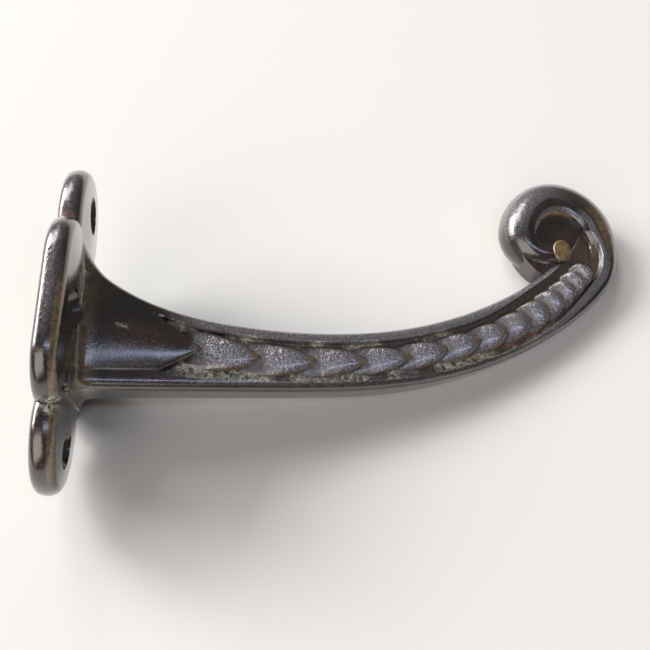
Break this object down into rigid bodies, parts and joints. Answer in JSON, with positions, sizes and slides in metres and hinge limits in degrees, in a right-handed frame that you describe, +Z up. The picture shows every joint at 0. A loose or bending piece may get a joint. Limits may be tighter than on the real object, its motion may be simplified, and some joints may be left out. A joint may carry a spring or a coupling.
{
  "type": "wall hook",
  "caption": "Cast iron wall hook: lobed back plate with countersunk screw holes, a tapering arm with husk chains on both sides, and a scroll at its end.",
  "frame": {"origin": "centre of the back plate's flat wall face", "axes": "+Y into the wall, the arm reaches along -Y, +Z up, X across the plate"},
  "size_m": [0.0406, 0.1296, 0.0778],
  "materials": {
    "iron": "old black japan over cast iron, semi-gloss, with rust, paint residue and rubbed edges"
  },
  "bodies": {
    "root": {"hook": "iron"}
  },
  "joints": []
}
